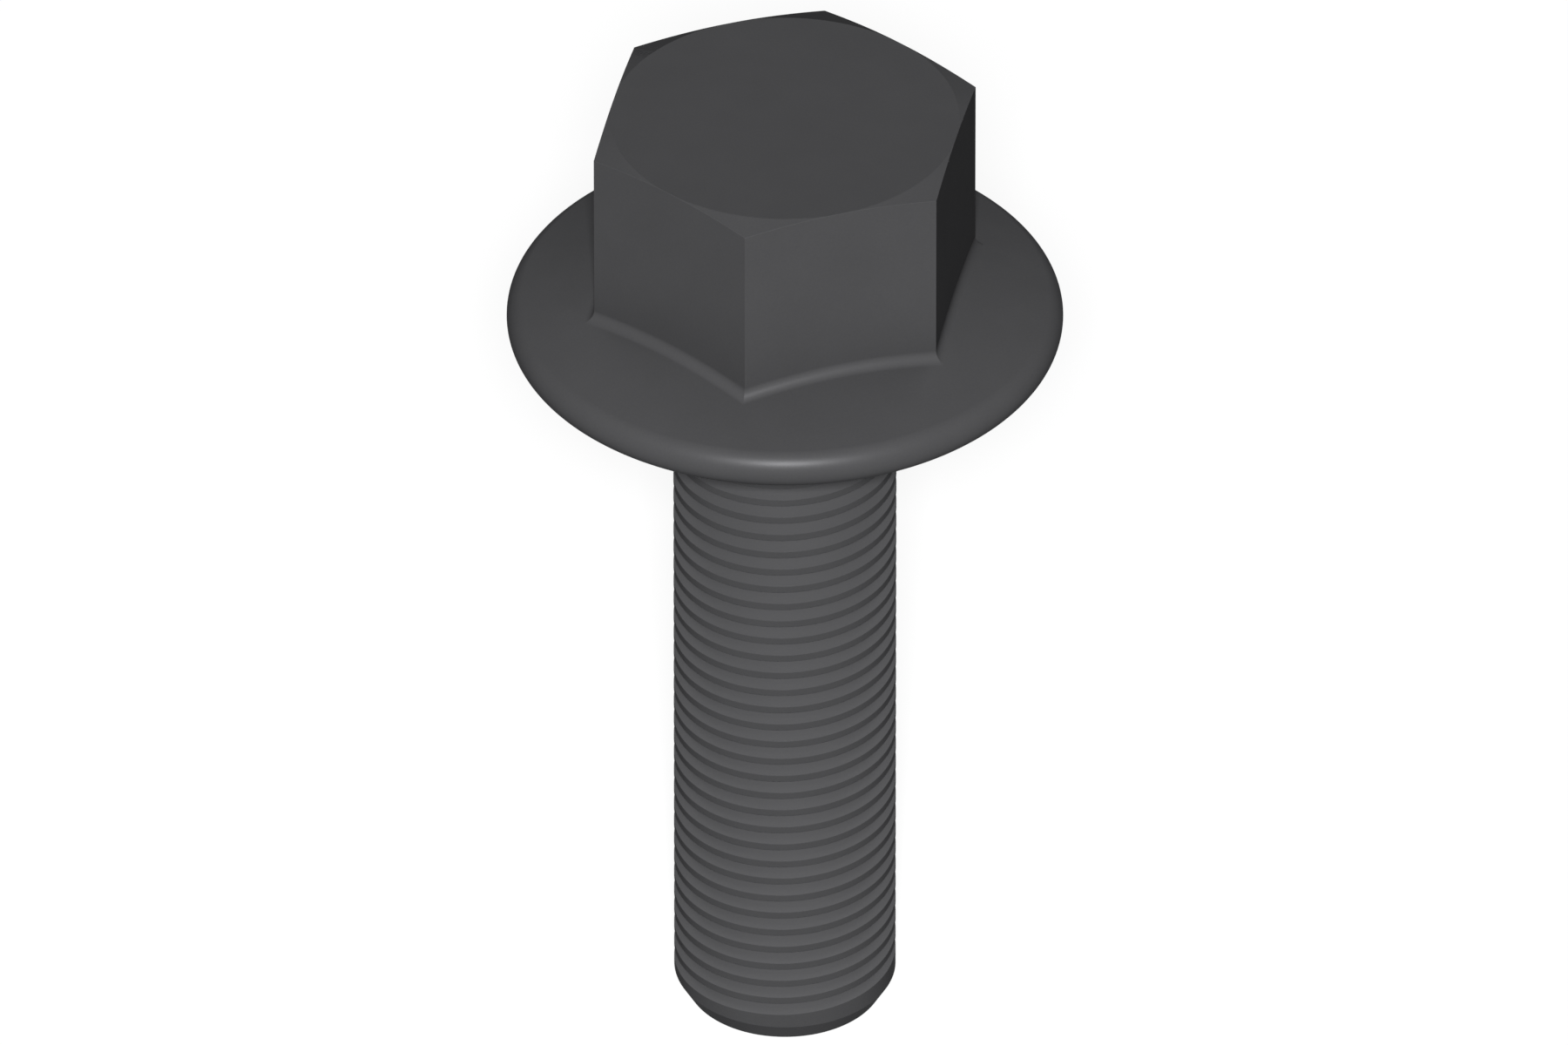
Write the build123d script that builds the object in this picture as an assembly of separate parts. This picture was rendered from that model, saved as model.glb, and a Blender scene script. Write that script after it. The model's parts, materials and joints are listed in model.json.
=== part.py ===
from build123d import *
import os
from math import cos, radians, sin, tan

# Flange bolt: a hexagon head and a round flange in one piece with a threaded shank.
# Sizes are in millimetres and angles in degrees. The origin is the centre of the flat face
# at the threaded end, and +Z runs up the axis to the head. Two of the hexagon's corners lie
# on the X axis, so two of its flats face +Y and -Y.

# Shank. Its right-hand M16 x 1.5 thread is so fine that its outer form stands for it here:
# the cylinder that runs over the crests, which on a real thread lie a little inside 16 mm.
crest_diameter = 15.75
shank_length = 56.6  # from the end face to the bearing face under the flange
end_chamfer_length = 1.5  # along the axis
end_chamfer_angle = 30.0  # between the chamfer and the axis
neck_fillet_radius = 0.6  # where the shank runs into the bearing face

# Flange
flange_diameter = 39.2
rim_thickness = 3.0  # the rim is a full round of this thickness
flange_slope_angle = 17.5  # fall of the upper face from the hexagon to the rim

# Hexagon
side_count = 6
width_across_flats = 24.5
head_height = 18.4  # from the bearing face to the top
crown_chamfer_angle = 15.0  # fall of the corners from the circle that touches every flat
foot_fillet_radius = 0.9  # between each flat and the flange

# What follows from the sizes above
crest_radius = crest_diameter / 2
end_face_radius = crest_radius - end_chamfer_length * tan(radians(end_chamfer_angle))
bearing_face_z = shank_length
top_z = shank_length + head_height

rim_radius = rim_thickness / 2
rim_centre_radius = flange_diameter / 2 - rim_radius
rim_centre_z = bearing_face_z + rim_radius

flat_radius = width_across_flats / 2
side_angle = 360 / side_count
half_side = flat_radius * tan(radians(side_angle / 2))


def on_rim(angle):
    """Point of the rim's round section, at an angle up from the outward direction."""
    return (
        rim_centre_radius + rim_radius * cos(radians(angle)),
        rim_centre_z + rim_radius * sin(radians(angle)),
    )


def on_slope(radius):
    """Point of the flange's upper face, at a distance from the axis."""
    edge_radius, edge_z = on_rim(90 - flange_slope_angle)
    return (radius, edge_z + (edge_radius - radius) * tan(radians(flange_slope_angle)))


def turned_form():
    """Shank, bearing face, rim and upper face of the flange, as one turned solid."""
    chamfer_top = (crest_radius, end_chamfer_length)
    neck_start = (crest_radius, bearing_face_z - neck_fillet_radius)
    neck_end = (crest_radius + neck_fillet_radius, bearing_face_z)
    slope_start = on_rim(90 - flange_slope_angle)
    slope_end = on_slope(crest_radius)
    core_top = (0, slope_end[1])
    with BuildPart() as turned:
        with BuildSketch(Plane.XZ):
            with BuildLine():
                Polyline(core_top, (0, 0), (end_face_radius, 0), chamfer_top, neck_start)
                RadiusArc(neck_start, neck_end, neck_fillet_radius)
                Line(neck_end, on_rim(-90))
                ThreePointArc(on_rim(-90), on_rim(0), slope_start)
                Polyline(slope_start, slope_end, core_top)
            make_face()
        revolve(axis=Axis.Z)
    return turned.part


def crown():
    """Turned envelope of the head: a flat top that falls away outwards as a shallow cone."""
    envelope_radius = flange_diameter / 2
    envelope_fall = (envelope_radius - flat_radius) * tan(radians(crown_chamfer_angle))
    with BuildPart() as envelope:
        with BuildSketch(Plane.XZ):
            Polygon(
                (0, rim_centre_z),
                (envelope_radius, rim_centre_z),
                (envelope_radius, top_z - envelope_fall),
                (flat_radius, top_z),
                (0, top_z),
                align=None,
            )
        revolve(axis=Axis.Z)
    return envelope.part


def head_bar():
    """Bar with one pair of the head's flats, a little longer than a side, under the crown."""
    bar_length = 2 * (half_side + 2 * foot_fillet_radius)
    with BuildPart() as bar:
        with BuildSketch(Plane.XY.offset(rim_centre_z)):
            Rectangle(bar_length, width_across_flats)
        extrude(amount=top_z - rim_centre_z)
    return bar.part & crown()


def sector():
    """Wedge round the axis that holds the side of the head that faces -Y."""
    reach = flange_diameter
    half_width = reach * tan(radians(side_angle / 2))
    with BuildPart() as wedge:
        with BuildSketch(Plane.XY):
            Polygon((0, 0), (-half_width, -reach), (half_width, -reach), align=None)
        extrude(amount=top_z)
    return wedge.part


def one_side():
    """The share of the bolt that belongs to one side of the head, with the fillet at its foot.

    The fillet runs on past both corners before the wedge is cut, so that the fillets of two
    neighbouring sides meet in a clean mitre below each corner.
    """
    body = turned_form() + head_bar()
    flat = body.faces().filter_by(GeomType.PLANE).sort_by(Axis.Y)[0]
    foot = flat.edges().sort_by(Axis.Z)[0]
    return fillet(foot, foot_fillet_radius) & sector()


def flange_bolt():
    """The whole bolt: its equal sides set round the axis and joined as one solid."""
    side = one_side()
    bolt = side
    for number in range(1, side_count):
        bolt += Rotation(0, 0, number * side_angle) * side
    return bolt


os.makedirs("parts", exist_ok=True)
export_step(flange_bolt(), "parts/flange_bolt.step")
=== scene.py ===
"""A flange bolt in blackened steel: hexagon head, round flange and rolled thread in one piece."""

import json
from math import atan, cos, hypot, pi, radians, sin, sqrt, tan

import bmesh
import bpy
from mathutils import Matrix, Vector


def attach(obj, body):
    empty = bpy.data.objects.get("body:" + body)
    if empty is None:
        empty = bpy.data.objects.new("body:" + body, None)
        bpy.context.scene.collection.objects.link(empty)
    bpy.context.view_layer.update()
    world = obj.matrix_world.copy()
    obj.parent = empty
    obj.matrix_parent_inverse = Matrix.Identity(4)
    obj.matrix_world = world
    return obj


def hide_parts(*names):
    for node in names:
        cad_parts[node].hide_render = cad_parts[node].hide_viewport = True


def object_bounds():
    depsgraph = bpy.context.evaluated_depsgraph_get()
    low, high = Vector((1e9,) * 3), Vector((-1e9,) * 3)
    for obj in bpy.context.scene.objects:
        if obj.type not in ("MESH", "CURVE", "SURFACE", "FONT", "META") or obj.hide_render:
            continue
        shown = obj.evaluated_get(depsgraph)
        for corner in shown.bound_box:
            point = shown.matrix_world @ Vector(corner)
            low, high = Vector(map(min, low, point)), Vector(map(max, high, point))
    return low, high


bl_info = {
    "name": "Flange bolt",
    "version": (1, 0, 0),
    "blender": (4, 5, 0),
    "location": "View3D > Sidebar > Flange bolt",
    "description": "Makes a flange bolt of blackened steel and a studio for it",
    "category": "Add Mesh",
}

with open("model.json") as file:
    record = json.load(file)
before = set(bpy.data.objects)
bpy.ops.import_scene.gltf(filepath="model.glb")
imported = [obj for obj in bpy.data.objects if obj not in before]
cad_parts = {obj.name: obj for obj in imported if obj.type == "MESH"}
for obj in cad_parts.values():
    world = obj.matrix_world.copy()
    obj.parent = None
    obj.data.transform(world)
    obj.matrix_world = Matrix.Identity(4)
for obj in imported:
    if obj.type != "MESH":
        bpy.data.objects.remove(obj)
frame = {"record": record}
cad_lowest, cad_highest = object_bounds()
mounts = {mount["name"]: mount for mount in frame["record"]["mounts"]}

MILLIMETRE = 0.001
HEXAGON_SIDES = 6
SIDE_ANGLE = 2 * pi / HEXAGON_SIDES
HEXAGON, FLANGE, THREAD = range(3)  # the bolt's surfaces, in the order of its materials
WELD_DISTANCE = 0.001 * MILLIMETRE
FLOOR_GAP = 0.01 * MILLIMETRE  # keeps the floor clear of the bolt's end face
WHITE = (1.0, 1.0, 1.0, 1.0)


# Sizes and colours that a user would change

def length(name, description, metres):
    """Property for a length, with its default in metres."""
    return bpy.props.FloatProperty(
        name=name,
        description=description,
        default=metres,
        min=0.0,
        precision=5,
        subtype="DISTANCE",
        unit="LENGTH",
    )


def angle(name, description, in_degrees):
    """Property for an angle, with its default in degrees."""
    return bpy.props.FloatProperty(
        name=name,
        description=description,
        default=radians(in_degrees),
        subtype="ANGLE",
        unit="ROTATION",
    )


def count(name, description, number):
    """Property for a whole number of at least 1."""
    return bpy.props.IntProperty(name=name, description=description, default=number, min=1)


def amount(name, description, number):
    """Property for a number of at least 0."""
    return bpy.props.FloatProperty(
        name=name, description=description, default=number, min=0.0, precision=3
    )


def colour(name, description, rgb):
    """Property for a colour, as red, green and blue from 0 to 1."""
    return bpy.props.FloatVectorProperty(
        name=name, description=description, default=rgb, size=3, min=0.0, max=1.0, subtype="COLOR"
    )


class HeadSizes(bpy.types.PropertyGroup):
    """Sizes of the hexagon, the flange and the neck under it."""

    top_height: length("Top height", "Height of the head's top above the threaded end", cad_highest.z)
    bearing_height: length(
        "Bearing height", "Height of the face under the flange", mounts["bearing_face"]["pos_m"][2]
    )
    flange_radius: length("Flange radius", "Outer radius of the flange", cad_highest.x)
    rim_thickness: length(
        "Rim thickness", "Thickness of the flange's fully rounded rim", 3.0 * MILLIMETRE
    )
    slope_angle: angle("Slope", "Fall of the flange's upper face", 17.5)
    flat_radius: length("Flat radius", "Half the width across flats", 12.25 * MILLIMETRE)
    crown_angle: angle("Crown chamfer", "Fall of the top towards the corners", 15.0)
    foot_fillet: length("Foot fillet", "Radius between each flat and the flange", 0.9 * MILLIMETRE)
    edge_rounding: length("Edge rounding", "Radius of the hexagon's edges", 0.03 * MILLIMETRE)
    neck_fillet: length("Neck fillet", "Radius where the shank meets the flange", 0.6 * MILLIMETRE)
    columns_per_side: count("Columns per side", "Faces along each side of the hexagon", 28)


class ThreadSizes(bpy.types.PropertyGroup):
    """Sizes of the right-hand thread and of the chamfered end."""

    crest_radius: length(
        "Crest radius", "Radius over the crests", mounts["thread"]["dims"]["r_mm"] * MILLIMETRE
    )
    pitch: length("Pitch", "Rise of one turn", 1.5 * MILLIMETRE)
    groove_width: length("Groove width", "Width of the groove between two crests", 0.99 * MILLIMETRE)
    flank_angle: angle("Flank angle", "Lean of each flank from square to the axis", 30.0)
    root_radius: length("Root radius", "Radius at the bottom of the groove", 0.06 * MILLIMETRE)
    crest_rounding: length("Crest rounding", "Width of the round along each crest", 0.01 * MILLIMETRE)
    start_angle: angle("Start angle", "Direction in which the groove starts, from +X", 71.4)
    start_height: length(
        "Start height", "Height of the middle of the groove at its start", 2.35 * MILLIMETRE
    )
    end_height: length(
        "End height", "Height of the middle of the groove at its end", 52.7 * MILLIMETRE
    )
    run_in: amount("Run-in", "Turns over which the groove reaches its full depth", 0.22)
    run_out: amount("Run-out", "Turns over which the groove fades out under the head", 0.6)
    chamfer_length: length("End chamfer", "Length of the end chamfer along the axis", 1.5 * MILLIMETRE)
    chamfer_angle: angle("End chamfer angle", "Angle between the end chamfer and the axis", 30.0)
    end_rounding: length("End rounding", "Radius of the edges at the threaded end", 0.08 * MILLIMETRE)
    columns: count("Columns", "Faces in one turn", 144)


class SteelFinish(bpy.types.PropertyGroup):
    """Colour and surface of the blackened steel."""

    tone: colour("Colour", "Colour of the oxide", (0.08, 0.08, 0.083))
    metal: amount("Metal", "Share of the bare metal's reflection that the oxide lets through", 0.26)
    head_roughness: amount("Head roughness", "Roughness of the forged head", 0.42)
    thread_roughness: amount("Thread roughness", "Roughness of the rolled thread", 0.42)
    hexagon_glance: amount(
        "Hexagon glance", "Share of the metal's reflection that the hexagon keeps at a low angle", 0.0
    )
    round_glance: amount("Round glance", "The same share on the flange and the thread", 0.27)
    mottle: amount("Mottle", "Strength of the soft light and dark areas of the oxide", 0.05)
    mottle_size: length("Mottle size", "Size of the soft areas", 3.5 * MILLIMETRE)
    grain: amount("Grain", "Strength of the fine grain of the surface", 0.06)
    grain_size: length("Grain size", "Size of the fine grain", 0.15 * MILLIMETRE)
    grain_height: length(
        "Grain height", "Height of the grain and of the tool marks", 0.002 * MILLIMETRE
    )
    head_marks: amount("Head marks", "Strength of the turned marks round the head", 0.25)
    thread_marks: amount("Thread marks", "Strength of the marks that the rolling dies leave", 0.5)
    mark_size: length("Mark size", "Width of the marks round the axis", 0.15 * MILLIMETRE)
    # Painted light and shade on the thread: the flanks are painted lighter and the crests darker, for
    # how the lamp falls on them.
    crest_painted_shade: amount("Crest dulling", "Share by which the thread's crests are darker", 0.1)
    flank_painted_light: amount("Flank burnish", "Share by which the thread's flanks are lighter", 0.38)


class Studio(bpy.types.PropertyGroup):
    """Floor, light and camera."""

    floor_tone: colour("Floor", "Colour of the floor under the lamp's light", (0.2, 0.2, 0.2))
    floor_glow: amount(
        "Floor glow", "Light added to the floor where it is seen straight or reflected", 0.87
    )
    floor_width: length("Floor width", "Side of the square floor", 10.0)
    key_level: amount("Key light", "Light on a surface that faces the lamp", 1.15)
    fill_level: amount("Fill light", "Light from all round on matt surfaces", 0.08)
    lamp_size: length("Lamp size", "Side of the square lamp", 0.3)
    lamp_distance: length("Lamp distance", "Distance of the lamp from the bolt", 4.0)
    azimuth: angle("Azimuth", "Direction of the view round the bolt", -18.57)
    elevation: angle("Elevation", "Height of the view above the horizon", 35.75)
    lens: amount(
        "Lens", "Focal length in millimetres, long so that the view is almost parallel", 1000.0
    )
    view_width: length("View width", "Width of the view at the bolt", 110.77 * MILLIMETRE)
    aim_height: length(
        "Aim height", "Height of the point at the middle of the view", 40.02 * MILLIMETRE
    )
    aim_left: length(
        "Aim left", "Distance from the axis to the middle of the view", 0.065 * MILLIMETRE
    )


# Outlines, as lists of (distance from the axis, height)

CROWN_EDGE_STEPS = 5
FOOT_FILLET_STEPS = 8
RIM_STEPS = 24
NECK_STEPS = 8
END_CHAMFER_STEPS = 3  # on the edge between the thread and the end chamfer
END_FACE_STEPS = 5  # on the edge between the end chamfer and the end face
BALL_ROUNDS = 8  # more than enough for the ball of the foot fillet to settle


def rounded_corner(before, corner, after, radius, steps):
    """Points of an arc that touches both sides of a corner."""
    to_before = (before - corner).normalized()
    to_after = (after - corner).normalized()
    half_angle = to_before.angle(to_after) / 2
    centre = corner + (to_before + to_after).normalized() * (radius / sin(half_angle))
    first = corner + to_before * (radius / tan(half_angle)) - centre
    last = corner + to_after * (radius / tan(half_angle)) - centre
    return [centre + radius * first.slerp(last, step / steps) for step in range(steps + 1)]


def arc(centre, radius, first_angle, last_angle, steps):
    """Points of an arc from one angle to another, both up from the outward direction."""
    angles = [first_angle + (last_angle - first_angle) * step / steps for step in range(steps + 1)]
    return [centre + radius * Vector((cos(turn), sin(turn))) for turn in angles]


def corner_turn(head):
    """Angle, seen from the axis, between a corner and the start of its rounding."""
    half_side = (head.flat_radius - head.edge_rounding) * tan(SIDE_ANGLE / 2)
    return SIDE_ANGLE / 2 - atan(half_side / head.flat_radius)


def wall_radius(head, turn):
    """Distance from the axis to the hexagon's wall; turn is the angle from the flat's own direction."""
    from_corner = SIDE_ANGLE / 2 - abs(turn)
    if from_corner >= corner_turn(head):
        return head.flat_radius / cos(turn)
    centre = (head.flat_radius - head.edge_rounding) / cos(SIDE_ANGLE / 2)
    return centre * cos(from_corner) + sqrt(head.edge_rounding**2 - (centre * sin(from_corner)) ** 2)


def crown_edge(head, turn):
    """Rounded edge between the crown and the wall.

    Near a flat's middle the edge lies on the flat top, and elsewhere on the cone that falls away to
    the corners.
    """
    radius = wall_radius(head, turn) - head.edge_rounding
    on_top = head.top_height - head.edge_rounding
    on_cone = (
        head.top_height
        - (radius - head.flat_radius) * tan(head.crown_angle)
        - head.edge_rounding / cos(head.crown_angle)
    )
    first_angle = pi / 2 if on_top < on_cone else pi / 2 - head.crown_angle
    centre = Vector((radius, min(on_top, on_cone)))
    return arc(centre, head.edge_rounding, first_angle, 0.0, CROWN_EDGE_STEPS)


def rim_centre(head):
    """Centre of the rim's round section."""
    rim_radius = head.rim_thickness / 2
    return Vector((head.flange_radius - rim_radius, head.bearing_height + rim_radius))


def slope_apex(head):
    """Height at which the flange's upper face, carried on inwards, would meet the axis."""
    centre = rim_centre(head)
    return centre.y + head.rim_thickness / 2 / cos(head.slope_angle) + centre.x * tan(head.slope_angle)


def foot_fillet(head, turn, share):
    """Point of the fillet between a flat and the flange: share 0 on the flat, 1 on the flange.

    A ball that touches both rolls along the foot of the flat. The point wanted lies in one direction
    from the axis, so the place of the ball is closed in on in a few rounds.
    """
    ball = Vector((head.flat_radius + head.foot_fillet, 0.0, 0.0))
    touch = ball
    apex = slope_apex(head) + head.foot_fillet / cos(head.slope_angle)
    for _ in range(BALL_ROUNDS):
        ball.y += touch.x * tan(turn) - touch.y
        reach = hypot(ball.x, ball.y)
        ball.z = apex - reach * tan(head.slope_angle)
        to_flat = Vector((-1.0, 0.0, 0.0))
        to_slope = -Vector((
            sin(head.slope_angle) * ball.x / reach,
            sin(head.slope_angle) * ball.y / reach,
            cos(head.slope_angle),
        ))
        touch = ball + head.foot_fillet * to_flat.slerp(to_slope, share)
    rounding = wall_radius(head, turn) * cos(turn) / head.flat_radius
    return Vector((hypot(touch.x, touch.y) * (share + (1 - share) * rounding), touch.z))


def hexagon_outline(head, turn):
    """Outline of the hexagon in one direction, from its top to the foot of its wall."""
    edge = crown_edge(head, turn)
    crown_radius = min(head.flat_radius, edge[0].x)
    top = [Vector((crown_radius / 2, head.top_height)), Vector((crown_radius, head.top_height))]
    return top + edge + [foot_fillet(head, turn, 0.0)]


def fillet_outline(head, turn):
    """Outline of the fillet in one direction, from the foot of the wall to the flange's slope."""
    shares = [step / FOOT_FILLET_STEPS for step in range(FOOT_FILLET_STEPS + 1)]
    return [foot_fillet(head, turn, share) for share in shares]


def rim_outline(head):
    """Outline of the flange's rim, from the end of its slope to the edge of the bearing face."""
    first_angle = pi / 2 - head.slope_angle
    return arc(rim_centre(head), head.rim_thickness / 2, first_angle, -pi / 2, RIM_STEPS)


def neck_outline(head, thread):
    """Outline of the fillet between the bearing face and the shank."""
    corner = Vector((thread.crest_radius, head.bearing_height))
    outwards = Vector((head.flange_radius, head.bearing_height))
    down = Vector((thread.crest_radius, 0.0))
    return rounded_corner(outwards, corner, down, head.neck_fillet, NECK_STEPS)


def end_outline(thread):
    """Outline of the chamfered end, from the thread down and in over the flat face."""
    chamfer_top = Vector((thread.crest_radius, thread.chamfer_length))
    face_radius = thread.crest_radius - thread.chamfer_length * tan(thread.chamfer_angle)
    face_edge = Vector((face_radius, 0.0))
    up = Vector((thread.crest_radius, thread.start_height))
    middle = Vector((0.0, 0.0))
    upper = rounded_corner(up, chamfer_top, face_edge, thread.end_rounding, END_CHAMFER_STEPS)
    lower = rounded_corner(chamfer_top, face_edge, middle, thread.end_rounding, END_FACE_STEPS)
    return upper + lower + [Vector((face_radius / 2, 0.0))]


# Mesh of the head, neck and end

SLOPE_SHARES = (0.33, 0.67)  # where the rings on the flange's slope lie between its ends
SLOPE_TURN = radians(9.0625)  # the columns turn back by this between the fillet and the rim
BROAD_FACE_WEIGHT = 100  # the weight at which broad faces count the most


def head_directions(head):
    """Directions of the head's columns: (direction from +X, angle from the nearest flat's direction)."""
    rounding = corner_turn(head)
    straight = SIDE_ANGLE / 2 - rounding
    shares = [2 * step / head.columns_per_side - 1 for step in range(head.columns_per_side + 1)]
    turns = [-SIDE_ANGLE / 2, -SIDE_ANGLE / 2 + rounding / 2]
    turns += [straight * share for share in shares]
    turns += [SIDE_ANGLE / 2 - rounding / 2]
    sides = [(side + 0.5) * SIDE_ANGLE for side in range(HEXAGON_SIDES)]
    return [(flat_direction + turn, turn) for flat_direction in sides for turn in turns]


def even_directions(columns, first=0.0):
    """Evenly spaced directions round the axis."""
    return [first + 2 * pi * column / columns for column in range(columns)]


def turned(direction, point):
    """Point of an outline, turned into its direction round the axis."""
    return Vector((point.x * cos(direction), point.x * sin(direction), point.y))


def add_rings(mesh, rows, surface):
    """Faces between rows of points round the axis. Returns the rings of the mesh's own points."""
    rings = [[mesh.verts.new(point) for point in row] for row in rows]
    for upper, lower in zip(rings, rings[1:]):
        for column in range(len(upper)):
            following = (column + 1) % len(upper)
            face = mesh.faces.new((upper[column], lower[column], lower[following], upper[following]))
            face.material_index = surface
    return rings


def column_rows(outlines, columns):
    """Rows of points of outlines that differ from column to column."""
    return [
        [turned(direction, outline[row]) for (direction, _), outline in zip(columns, outlines)]
        for row in range(len(outlines[0]))
    ]


def turned_rows(outline, directions):
    """Rows of points of an outline that is the same in every direction."""
    return [[turned(direction, point) for direction in directions] for point in outline]


def close_ring(mesh, ring, height, surface):
    """Fan of faces from a ring to a point on the axis."""
    middle = mesh.verts.new((0.0, 0.0, height))
    for column in range(len(ring)):
        face = mesh.faces.new((ring[column], ring[(column + 1) % len(ring)], middle))
        face.material_index = surface


def ring_edges(ring):
    """Edges that join the points of a ring."""
    inside = set(ring)
    return {edge for vertex in ring for edge in vertex.link_edges if set(edge.verts) <= inside}


def add_head(mesh, head, thread):
    """Hexagon, flange and bearing face, down to the neck.

    The columns crowd together at the hexagon's corners, and spread out evenly over the slope.
    """
    columns = head_directions(head)
    outlines = [hexagon_outline(head, turn) for _, turn in columns]
    hexagon = add_rings(mesh, column_rows(outlines, columns), HEXAGON)
    close_ring(mesh, hexagon[0], head.top_height, HEXAGON)
    on_cone = {
        vertex for vertex, outline in zip(hexagon[1], outlines) if outline[1].x == head.flat_radius
    }
    for edge in ring_edges(hexagon[1]):
        edge.smooth = not on_cone.issuperset(edge.verts)

    fillets = [fillet_outline(head, turn) for _, turn in columns]
    rim = rim_outline(head)
    even = even_directions(len(columns), columns[0][0] - SLOPE_TURN)
    rows = column_rows(fillets, columns)
    for share in SLOPE_SHARES:
        rows.append([
            turned(direction + (spread - direction) * share, fillet[-1].lerp(rim[0], share))
            for (direction, _), spread, fillet in zip(columns, even, fillets)
        ])
    flange = add_rings(mesh, rows + turned_rows(rim, even), FLANGE)

    neck_rows = turned_rows(neck_outline(head, thread), even_directions(thread.columns))
    neck = add_rings(mesh, neck_rows, FLANGE)
    bearing = bmesh.ops.bridge_loops(mesh, edges=list(ring_edges(flange[-1]) | ring_edges(neck[0])))
    for face in bearing["faces"]:
        face.material_index = FLANGE


def add_end(mesh, thread):
    """Chamfer and flat face of the threaded end."""
    rows = turned_rows(end_outline(thread), even_directions(thread.columns))
    rings = add_rings(mesh, rows, FLANGE)
    close_ring(mesh, rings[-1], 0.0, FLANGE)


def evenly_shaded(context, mesh):
    """The same mesh with normals that follow its broad faces, so that these look flat.

    The weighting has no effect on a mesh this small in metres, so it is done in millimetres.
    """
    mesh.transform(Matrix.Scale(1 / MILLIMETRE, 4))
    enlarged = bpy.data.objects.new("enlarged_bolt", mesh)
    context.scene.collection.objects.link(enlarged)
    weighted = enlarged.modifiers.new("even_shading", "WEIGHTED_NORMAL")
    weighted.keep_sharp = True
    weighted.weight = BROAD_FACE_WEIGHT
    shaded = bpy.data.meshes.new_from_object(enlarged.evaluated_get(context.evaluated_depsgraph_get()))
    bpy.data.objects.remove(enlarged)
    shaded.transform(Matrix.Scale(MILLIMETRE, 4))
    return shaded


# Nodes, and the geometry nodes for the thread

COLUMN_WIDTH = 220  # of the columns in which a tree's nodes are set out
ROW_HEIGHT = 200


class NodeBench:
    """Adds nodes to a tree and joins them up."""

    def __init__(self, tree):
        self.tree = tree

    def put(self, kind, settings=None, **inputs):
        """New node with its settings and inputs; an input is a value or another node's output."""
        node = self.tree.nodes.new(kind)
        for name, value in (settings or {}).items():
            setattr(node, name, value)
        for name, value in inputs.items():
            self.feed(node.inputs[name.replace("_", " ")], value)
        return node

    def feed(self, socket, value):
        """Joins an output to a socket, or sets the socket's own value."""
        if isinstance(value, bpy.types.NodeSocket):
            self.tree.links.new(value, socket)
        else:
            socket.default_value = value

    def calc(self, operation, *values):
        """Result of a math node."""
        node = self.tree.nodes.new("ShaderNodeMath")
        node.operation = operation
        for socket, value in zip(node.inputs, values):
            self.feed(socket, value)
        return node.outputs[0]

    def line_up(self):
        """Sets the nodes out in columns, by how many nodes feed them in turn."""
        depth = {}
        for _ in self.tree.nodes:
            for link in self.tree.links:
                depth[link.to_node] = max(depth.get(link.to_node, 0), depth.get(link.from_node, 0) + 1)
        rows = {}
        for node in self.tree.nodes:
            column = depth.get(node, 0)
            rows[column] = rows.get(column, 0) + 1
            node.location = (COLUMN_WIDTH * column, -ROW_HEIGHT * rows[column])


THREAD_INPUTS = {
    "Crest Radius": "NodeSocketFloat",
    "Pitch": "NodeSocketFloat",
    "Groove Width": "NodeSocketFloat",
    "Flank Angle": "NodeSocketFloat",
    "Root Radius": "NodeSocketFloat",
    "Crest Rounding": "NodeSocketFloat",
    "Start Angle": "NodeSocketFloat",
    "Start Height": "NodeSocketFloat",
    "End Height": "NodeSocketFloat",
    "Run-in": "NodeSocketFloat",
    "Run-out": "NodeSocketFloat",
    "Lower Edge": "NodeSocketFloat",
    "Upper Edge": "NodeSocketFloat",
    "Columns": "NodeSocketInt",
    "Steel": "NodeSocketMaterial",
}
POINTS_PER_PITCH = 8  # in the groove's section, four on each side of its middle
ROOT_PARTS = 3  # the root's inner points lie one of these parts of its half width from the middle
ROOT_RISE = 1.05  # rise of the inner points over the tip of the sharp V, in root radii
SPARE_TURNS = 3  # turns that the sheet of points has beyond those that fit on the shank
SPARE_TURNS_BELOW = 1  # how many of them are wound below the shank


def groove_section(bench, given, row):
    """Where a row of points lies in the groove's section: its offset along the axis and its depth."""
    step = bench.calc("MODULO", row, POINTS_PER_PITCH)
    from_middle = bench.calc("SUBTRACT", step, (POINTS_PER_PITCH - 1) / 2)
    side = bench.calc("SIGN", from_middle)
    number = bench.calc("SUBTRACT", bench.calc("ABSOLUTE", from_middle), 0.5)

    half_width = bench.calc("DIVIDE", given["Groove Width"], 2)
    slant_in = bench.calc("SINE", given["Flank Angle"])
    slant_down = bench.calc("COSINE", given["Flank Angle"])
    sharp_depth = bench.calc("DIVIDE", half_width, bench.calc("TANGENT", given["Flank Angle"]))
    root_width = bench.calc("MULTIPLY", given["Root Radius"], slant_down)
    root_rise = bench.calc("DIVIDE", root_width, bench.calc("TANGENT", given["Flank Angle"]))
    inner_rise = bench.calc("MULTIPLY", given["Root Radius"], ROOT_RISE)
    inwards = bench.calc("MULTIPLY", slant_in, -1)
    offsets = [
        bench.calc("DIVIDE", root_width, ROOT_PARTS),
        root_width,
        bench.calc("MULTIPLY_ADD", given["Crest Rounding"], inwards, half_width),
        bench.calc("ADD", half_width, given["Crest Rounding"]),
    ]
    depths = [
        bench.calc("SUBTRACT", sharp_depth, inner_rise),
        bench.calc("SUBTRACT", sharp_depth, root_rise),
        bench.calc("MULTIPLY", given["Crest Rounding"], slant_down),
        0.0,
    ]
    return (
        bench.calc("MULTIPLY", side, pick(bench, number, offsets)),
        pick(bench, number, depths),
    )


def pick(bench, number, values):
    """The value with that number in a list."""
    node = bench.tree.nodes.new("GeometryNodeIndexSwitch")
    node.data_type = "FLOAT"
    while len(node.index_switch_items) < len(values):
        node.index_switch_items.new()
    bench.feed(node.inputs["Index"], number)
    for place_in_list, value in enumerate(values):
        bench.feed(node.inputs[str(place_in_list)], value)
    return node.outputs[0]


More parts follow.
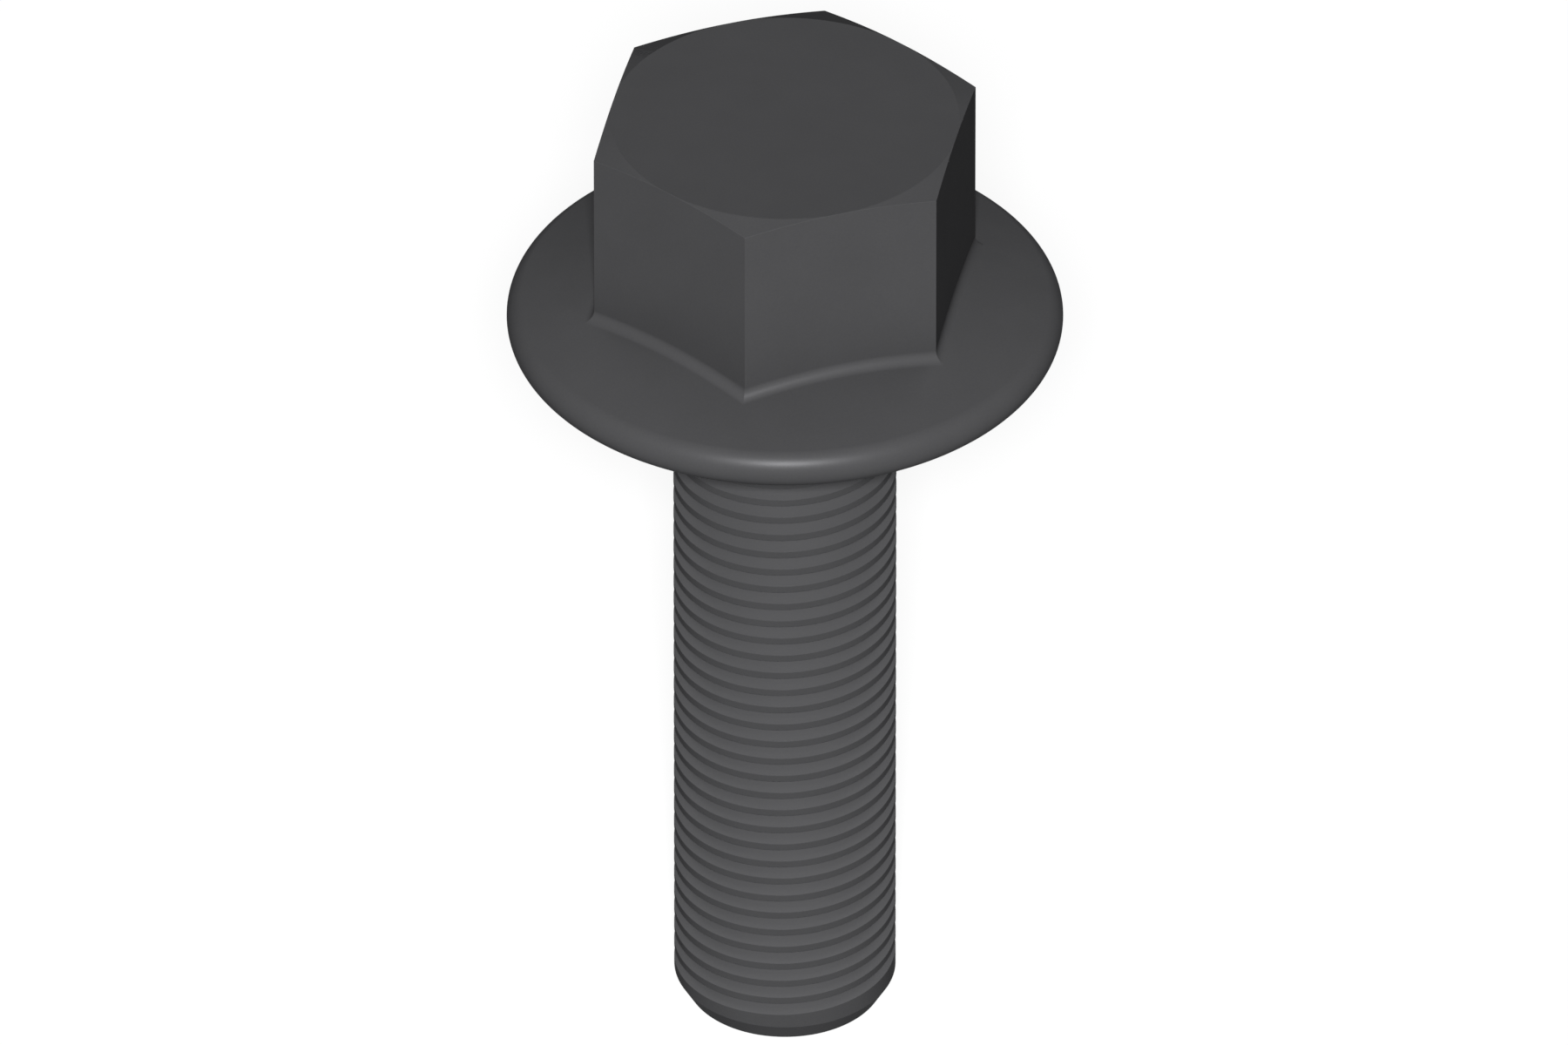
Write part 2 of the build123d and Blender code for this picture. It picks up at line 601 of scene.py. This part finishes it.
def fade(bench, turns, length_in_turns):
    """Share that rises smoothly from 0 to 1 over a length of the groove, both measured in turns."""
    return bench.put(
        "ShaderNodeMapRange",
        {"interpolation_type": "SMOOTHSTEP"},
        Value=turns,
        From_Max=length_in_turns,
    ).outputs[0]


def thread_tree():
    """Tree that winds the groove's section round the shank and fades it in and out at its ends."""
    tree = bpy.data.node_groups.new("rolled_thread", "GeometryNodeTree")
    for name, kind in THREAD_INPUTS.items():
        tree.interface.new_socket(name, in_out="INPUT", socket_type=kind)
    tree.interface.new_socket("Geometry", in_out="OUTPUT", socket_type="NodeSocketGeometry")
    bench = NodeBench(tree)
    given = tree.nodes.new("NodeGroupInput").outputs

    # A sheet of points: one column for each direction, and more rows than the shank has room for.
    # Half a step is added before rounding down, so that whole numbers stay whole.
    shank_length = bench.calc("SUBTRACT", given["Upper Edge"], given["Lower Edge"])
    fitting = bench.calc("CEIL", bench.calc("DIVIDE", shank_length, given["Pitch"]))
    turns = bench.calc("ADD", fitting, SPARE_TURNS)
    rows = bench.calc("MULTIPLY_ADD", turns, POINTS_PER_PITCH, 1)
    across = bench.calc("ADD", given["Columns"], 1)
    sheet = bench.put("GeometryNodeMeshGrid", Vertices_X=across, Vertices_Y=rows)
    index = tree.nodes.new("GeometryNodeInputIndex").outputs[0]
    column = bench.calc("FLOOR", bench.calc("DIVIDE", bench.calc("ADD", index, 0.5), rows))
    row = bench.calc("SUBTRACT", index, bench.calc("MULTIPLY", column, rows))
    share = bench.calc("DIVIDE", column, given["Columns"])

    # Turns of the helix since the groove's start, and the groove's height there.
    below_start = bench.calc("SUBTRACT", given["Lower Edge"], given["Start Height"])
    lowest_turn = bench.calc("FLOOR", bench.calc("DIVIDE", below_start, given["Pitch"]))
    first_turn = bench.calc("SUBTRACT", lowest_turn, SPARE_TURNS_BELOW)
    turn = bench.calc("FLOOR", bench.calc("DIVIDE", bench.calc("ADD", row, 0.5), POINTS_PER_PITCH))
    whole_turns = bench.calc("ADD", turn, first_turn)
    start_share = bench.calc("DIVIDE", given["Start Angle"], 2 * pi)
    since_start = bench.calc("SUBTRACT", bench.calc("ADD", whole_turns, share), start_share)
    offset, depth = groove_section(bench, given, row)
    middle = bench.calc("MULTIPLY_ADD", since_start, given["Pitch"], given["Start Height"])
    height = bench.put(
        "ShaderNodeClamp",
        Value=bench.calc("ADD", middle, offset),
        Min=given["Lower Edge"],
        Max=given["Upper Edge"],
    ).outputs[0]

    # Depth of the groove, less over its run-in and run-out.
    below_end = bench.calc("SUBTRACT", given["End Height"], middle)
    until_end = bench.calc("DIVIDE", below_end, given["Pitch"])
    run_in = fade(bench, since_start, given["Run-in"])
    run_out = fade(bench, until_end, given["Run-out"])
    cut = bench.calc("MULTIPLY", depth, bench.calc("MULTIPLY", run_in, run_out))
    radius = bench.calc("SUBTRACT", given["Crest Radius"], cut)

    direction = bench.calc("MULTIPLY", share, 2 * pi)
    position = bench.put(
        "ShaderNodeCombineXYZ",
        X=bench.calc("MULTIPLY", radius, bench.calc("COSINE", direction)),
        Y=bench.calc("MULTIPLY", radius, bench.calc("SINE", direction)),
        Z=height,
    ).outputs[0]
    wound = bench.put("GeometryNodeSetPosition", Geometry=sheet.outputs["Mesh"], Position=position)
    welded = bench.put(
        "GeometryNodeMergeByDistance", Geometry=wound.outputs[0], Distance=WELD_DISTANCE
    )
    real = bench.put("GeometryNodeRealizeInstances", Geometry=welded.outputs[0])
    blackened = bench.put(
        "GeometryNodeSetMaterial", Geometry=real.outputs[0], Material=given["Steel"]
    )
    bench.put("NodeGroupOutput", Geometry=blackened.outputs[0])
    bench.line_up()
    return tree


def rolled_thread(context, head, thread, steel):
    """Plain mesh of the thread, from the end chamfer to the neck."""
    tree = thread_tree()
    blank = bpy.data.objects.new("thread_blank", bpy.data.meshes.new("thread_blank"))
    context.scene.collection.objects.link(blank)
    modifier = blank.modifiers.new("rolled_thread", "NODES")
    modifier.node_group = tree
    values = {
        "Crest Radius": thread.crest_radius,
        "Pitch": thread.pitch,
        "Groove Width": thread.groove_width,
        "Flank Angle": thread.flank_angle,
        "Root Radius": thread.root_radius,
        "Crest Rounding": thread.crest_rounding,
        "Start Angle": thread.start_angle,
        "Start Height": thread.start_height,
        "End Height": thread.end_height,
        "Run-in": thread.run_in,
        "Run-out": thread.run_out,
        "Lower Edge": end_outline(thread)[0].y,
        "Upper Edge": neck_outline(head, thread)[-1].y,
        "Columns": thread.columns,
        "Steel": steel,
    }
    for socket in tree.interface.items_tree:
        if socket.in_out == "INPUT":
            modifier[socket.identifier] = values[socket.name]
    mesh = bpy.data.meshes.new_from_object(blank.evaluated_get(context.evaluated_depsgraph_get()))
    bpy.data.objects.remove(blank)
    return mesh


# Blackened steel

OXIDE_INPUTS = {
    "Place": "NodeSocketVector",
    "Colour": "NodeSocketColor",
    "Roughness": "NodeSocketFloat",
    "Mottle": "NodeSocketFloat",
    "Mottle Size": "NodeSocketFloat",
    "Grain": "NodeSocketFloat",
    "Grain Size": "NodeSocketFloat",
    "Marks": "NodeSocketFloat",
    "Mark Size": "NodeSocketFloat",
    "Crest Radius": "NodeSocketFloat",
    "Crest Dulling": "NodeSocketFloat",
    "Flank Burnish": "NodeSocketFloat",
}
CREST_BAND = 0.02 * MILLIMETRE  # depth below the crests at which the flanks' painted light is fully reached
NOISE_DETAIL = 2.0  # in the soft areas and the grain
MARK_DETAIL = 1.0
GRAIN_RELIEF = 10.0  # height of the grain for its strength in the colour
SOFT_AREA_SHEEN = -0.5  # change of roughness for a soft area's change of shade


def swing(bench, place, size, detail):
    """Noise that swings evenly about zero."""
    noise = bench.put(
        "ShaderNodeTexNoise", Vector=place, Scale=bench.calc("DIVIDE", 1.0, size), Detail=detail
    )
    return bench.calc("MULTIPLY_ADD", noise.outputs[0], 2.0, -1.0)


def oxide_group():
    """Black oxide on steel: soft light and dark areas, a fine grain, and tool marks round the axis, with
    the thread's flanks painted lighter and its crests painted darker as painted light and painted shade.
    """
    group = bpy.data.node_groups.new("black_oxide", "ShaderNodeTree")
    for name, kind in OXIDE_INPUTS.items():
        group.interface.new_socket(name, in_out="INPUT", socket_type=kind)
    for name, kind in (("Colour", "Color"), ("Roughness", "Float"), ("Height", "Float")):
        group.interface.new_socket(name, in_out="OUTPUT", socket_type=f"NodeSocket{kind}")
    bench = NodeBench(group)
    given = group.nodes.new("NodeGroupInput").outputs

    axes = bench.put("ShaderNodeSeparateXYZ", Vector=given["Place"]).outputs
    squares = [bench.calc("MULTIPLY", axes[name], axes[name]) for name in ("X", "Y")]
    radius = bench.calc("SQRT", bench.calc("ADD", *squares))
    along = bench.put("ShaderNodeCombineXYZ", X=radius, Y=axes["Z"]).outputs[0]

    soft_swing = swing(bench, given["Place"], given["Mottle Size"], NOISE_DETAIL)
    grain_swing = swing(bench, given["Place"], given["Grain Size"], NOISE_DETAIL)
    mark_swing = swing(bench, along, given["Mark Size"], MARK_DETAIL)
    soft_areas = bench.calc("MULTIPLY", soft_swing, given["Mottle"])
    grain = bench.calc("MULTIPLY", grain_swing, given["Grain"])
    marks = bench.calc("MULTIPLY", mark_swing, given["Marks"])
    relief = bench.calc("ADD", bench.calc("MULTIPLY", grain, GRAIN_RELIEF), marks)

    # Painted light and painted shade on the thread: by the distance from the axis, the flanks are
    # painted lighter and the crests darker.
    crest = bench.put(
        "ShaderNodeMapRange",
        Value=radius,
        From_Min=bench.calc("SUBTRACT", given["Crest Radius"], CREST_BAND),
        From_Max=bench.calc("SUBTRACT", given["Crest Radius"], CREST_BAND / 2),
        To_Min=given["Flank Burnish"],
        To_Max=bench.calc("MULTIPLY", given["Crest Dulling"], -1.0),
    ).outputs[0]
    shade = bench.calc("ADD", bench.calc("ADD", 1.0, crest), bench.calc("ADD", soft_areas, grain))
    tone = bench.put(
        "ShaderNodeVectorMath", {"operation": "SCALE"}, Vector=given["Colour"], Scale=shade
    )
    dullness = bench.calc("MULTIPLY_ADD", soft_areas, SOFT_AREA_SHEEN, 1.0)
    roughness = bench.calc("MULTIPLY", given["Roughness"], dullness)
    bench.put("NodeGroupOutput", Colour=tone.outputs[0], Roughness=roughness, Height=relief)
    bench.line_up()
    return group


def blackened_steel(name, group, finish, glance, **surface):
    """Satin black oxide on one surface of the bolt.

    glance is the share of the metal's reflection at a low angle, and surface holds the group's
    inputs that differ from surface to surface.
    """
    material = bpy.data.materials.new(name)
    material.use_nodes = True
    bench = NodeBench(material.node_tree)
    shader = material.node_tree.nodes["Principled BSDF"]
    shader.inputs["Metallic"].default_value = finish.metal
    shader.inputs["Specular IOR Level"].default_value = 0.0
    shader.inputs["Specular Tint"].default_value = (glance, glance, glance, 1.0)
    place = material.node_tree.nodes.new("ShaderNodeTexCoord").outputs["Object"]
    oxide = bench.put(
        "ShaderNodeGroup",
        {"node_tree": group},
        Place=place,
        Colour=(*finish.tone, 1.0),
        Mottle=finish.mottle,
        Mottle_Size=finish.mottle_size,
        Grain=finish.grain,
        Grain_Size=finish.grain_size,
        Mark_Size=finish.mark_size,
        **surface,
    )
    relief = bench.put("ShaderNodeBump", Distance=finish.grain_height, Height=oxide.outputs["Height"])
    bench.feed(shader.inputs["Base Color"], oxide.outputs["Colour"])
    bench.feed(shader.inputs["Roughness"], oxide.outputs["Roughness"])
    bench.feed(shader.inputs["Normal"], relief.outputs["Normal"])
    bench.line_up()
    return material


def bolt_steels(thread, finish):
    """The steel of each surface, in the order HEXAGON, FLANGE, THREAD."""
    oxide = oxide_group()
    forged = {"Roughness": finish.head_roughness, "Marks": finish.head_marks}
    rolled = {
        "Roughness": finish.thread_roughness,
        "Marks": finish.thread_marks,
        # The thread's painted light on its flanks and painted shade on its crests.
        "Crest_Radius": thread.crest_radius,
        "Crest_Dulling": finish.crest_painted_shade,
        "Flank_Burnish": finish.flank_painted_light,
    }
    return [
        blackened_steel("forged_hexagon", oxide, finish, finish.hexagon_glance, **forged),
        blackened_steel("forged_flange", oxide, finish, finish.round_glance, **forged),
        blackened_steel("rolled_thread", oxide, finish, finish.round_glance, **rolled),
    ]


# The whole bolt

def bolt_mesh(context, head, thread, steels):
    """Closed mesh of the bolt, welded where its parts meet, with its materials."""
    shape = bmesh.new()
    add_head(shape, head, thread)
    add_end(shape, thread)
    forged_faces = set(shape.faces)
    shape.from_mesh(rolled_thread(context, head, thread, steels[THREAD]))
    for face in shape.faces:
        face.smooth = True
        if face not in forged_faces:
            face.material_index = THREAD
    bmesh.ops.remove_doubles(shape, verts=shape.verts, dist=WELD_DISTANCE)
    bmesh.ops.recalc_face_normals(shape, faces=shape.faces)
    open_edges = [edge for edge in shape.edges if not edge.is_manifold]
    if open_edges:
        raise RuntimeError(f"the bolt's surface is open at {len(open_edges)} edges")
    mesh = bpy.data.meshes.new("bolt")
    shape.to_mesh(mesh)
    shape.free()
    for steel in steels:
        mesh.materials.append(steel)
    return mesh


class FLANGEBOLT_OT_bolt(bpy.types.Operator):
    """Make the bolt: head, flange, thread and chamfered end in one mesh"""

    bl_idname = "flange_bolt.bolt"
    bl_label = "Make the bolt"

    def execute(self, context):
        head = context.scene.flange_bolt_head
        thread = context.scene.flange_bolt_thread
        steels = bolt_steels(thread, context.scene.flange_bolt_finish)
        mesh = evenly_shaded(context, bolt_mesh(context, head, thread, steels))
        bolt = bpy.data.objects.new("bolt", mesh)
        context.scene.collection.objects.link(bolt)
        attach(bolt, "root")
        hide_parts("flange_bolt")
        return {"FINISHED"}


# Studio

def seen_directly(bench):
    """1 for rays of the camera, of reflections and of glass, and 0 for rays that light matt surfaces."""
    path = bench.tree.nodes.new("ShaderNodeLightPath").outputs
    either = bench.calc("MAXIMUM", path["Is Camera Ray"], path["Is Glossy Ray"])
    return bench.calc("MAXIMUM", either, path["Is Transmission Ray"])


def add_floor(context, studio):
    """Pale floor just under the bolt's end face."""
    half = studio.floor_width / 2
    corners = [(-half, -half), (half, -half), (half, half), (-half, half)]
    mesh = bpy.data.meshes.new("floor")
    mesh.from_pydata([(x, y, -FLOOR_GAP) for x, y in corners], [], [(0, 1, 2, 3)])
    material = bpy.data.materials.new("pale_floor")
    material.use_nodes = True
    bench = NodeBench(material.node_tree)
    shader = material.node_tree.nodes["Principled BSDF"]
    shader.inputs["Base Color"].default_value = (*studio.floor_tone, 1.0)
    shader.inputs["Roughness"].default_value = 1.0
    shader.inputs["Specular IOR Level"].default_value = 0.0
    shader.inputs["Emission Color"].default_value = WHITE
    glow = bench.calc("MULTIPLY", seen_directly(bench), studio.floor_glow)
    bench.feed(shader.inputs["Emission Strength"], glow)
    mesh.materials.append(material)
    pale_floor = bpy.data.objects.new("floor", mesh)
    context.scene.collection.objects.link(pale_floor)


def add_world(context, studio):
    """White surround: the background, and what the steel reflects."""
    world = bpy.data.worlds.new("white_surround")
    context.scene.world = world
    world.use_nodes = True
    bench = NodeBench(world.node_tree)
    background = world.node_tree.nodes["Background"]
    background.inputs["Color"].default_value = WHITE
    strength = bench.put(
        "ShaderNodeMapRange", Value=seen_directly(bench), To_Min=studio.fill_level, To_Max=1.0
    ).outputs[0]
    bench.feed(background.inputs["Strength"], strength)


def add_lamp(context, studio, aim, back):
    """Soft lamp on the camera's line of view, which gives a white surface at the bolt its key_level."""
    light = bpy.data.lights.new("soft_lamp", "AREA")
    light.shape = "SQUARE"
    light.size = studio.lamp_size
    light.energy = studio.key_level * (pi * studio.lamp_distance) ** 2
    lamp = bpy.data.objects.new("soft_lamp", light)
    lamp.location = aim + back * studio.lamp_distance
    lamp.rotation_mode = "QUATERNION"
    lamp.rotation_quaternion = back.to_track_quat("Z", "Y")
    context.scene.collection.objects.link(lamp)


def add_camera(context, studio, aim, back):
    """Camera with a long lens, from so far back that the view has its width at the bolt."""
    camera_data = bpy.data.cameras.new("camera")
    camera_data.lens = studio.lens
    distance = studio.view_width * studio.lens / camera_data.sensor_width
    camera_data.clip_end = 2 * distance
    camera = bpy.data.objects.new("camera", camera_data)
    camera.location = aim + back * distance
    camera.rotation_mode = "QUATERNION"
    camera.rotation_quaternion = back.to_track_quat("Z", "Y")
    context.scene.collection.objects.link(camera)
    context.scene.camera = camera


class FLANGEBOLT_OT_stage(bpy.types.Operator):
    """Set the stage: pale floor, soft light and camera"""

    bl_idname = "flange_bolt.stage"
    bl_label = "Set the stage"

    def execute(self, context):
        studio = context.scene.flange_bolt_studio
        add_floor(context, studio)
        add_world(context, studio)
        back = Vector((
            sin(studio.azimuth) * cos(studio.elevation),
            -cos(studio.azimuth) * cos(studio.elevation),
            sin(studio.elevation),
        ))
        left = Vector((-cos(studio.azimuth), -sin(studio.azimuth), 0.0))
        aim = Vector((0.0, 0.0, studio.aim_height)) + left * studio.aim_left
        add_lamp(context, studio, aim, back)
        add_camera(context, studio, aim, back)
        context.scene.view_settings.view_transform = "Standard"
        return {"FINISHED"}


# Panel and registration

class FLANGEBOLT_PT_panel(bpy.types.Panel):
    """Sizes, finish and studio of the flange bolt"""

    bl_idname = "FLANGEBOLT_PT_panel"
    bl_label = "Flange bolt"
    bl_space_type = "VIEW_3D"
    bl_region_type = "UI"
    bl_category = "Flange bolt"

    def draw(self, context):
        scene = context.scene
        groups = {
            "Head": scene.flange_bolt_head,
            "Thread": scene.flange_bolt_thread,
            "Finish": scene.flange_bolt_finish,
            "Studio": scene.flange_bolt_studio,
        }
        for title, group in groups.items():
            box = self.layout.box()
            box.label(text=title)
            for name in group.bl_rna.properties.keys():
                if name not in ("rna_type", "name"):
                    box.prop(group, name)
        self.layout.operator(FLANGEBOLT_OT_bolt.bl_idname)
        self.layout.operator(FLANGEBOLT_OT_stage.bl_idname)


SETTINGS = {
    "flange_bolt_head": HeadSizes,
    "flange_bolt_thread": ThreadSizes,
    "flange_bolt_finish": SteelFinish,
    "flange_bolt_studio": Studio,
}
CLASSES = (*SETTINGS.values(), FLANGEBOLT_OT_bolt, FLANGEBOLT_OT_stage, FLANGEBOLT_PT_panel)


def register():
    """Adds the classes and the scene's settings."""
    for cls in CLASSES:
        bpy.utils.register_class(cls)
    for name, group in SETTINGS.items():
        setattr(bpy.types.Scene, name, bpy.props.PointerProperty(type=group))


def unregister():
    """Takes the settings and classes away again."""
    for name in SETTINGS:
        delattr(bpy.types.Scene, name)
    for cls in reversed(CLASSES):
        bpy.utils.unregister_class(cls)


def main():
    """Makes the bolt and the stage."""
    register()
    bpy.ops.flange_bolt.bolt()
    bpy.ops.flange_bolt.stage()


if __name__ == "__main__":
    main()
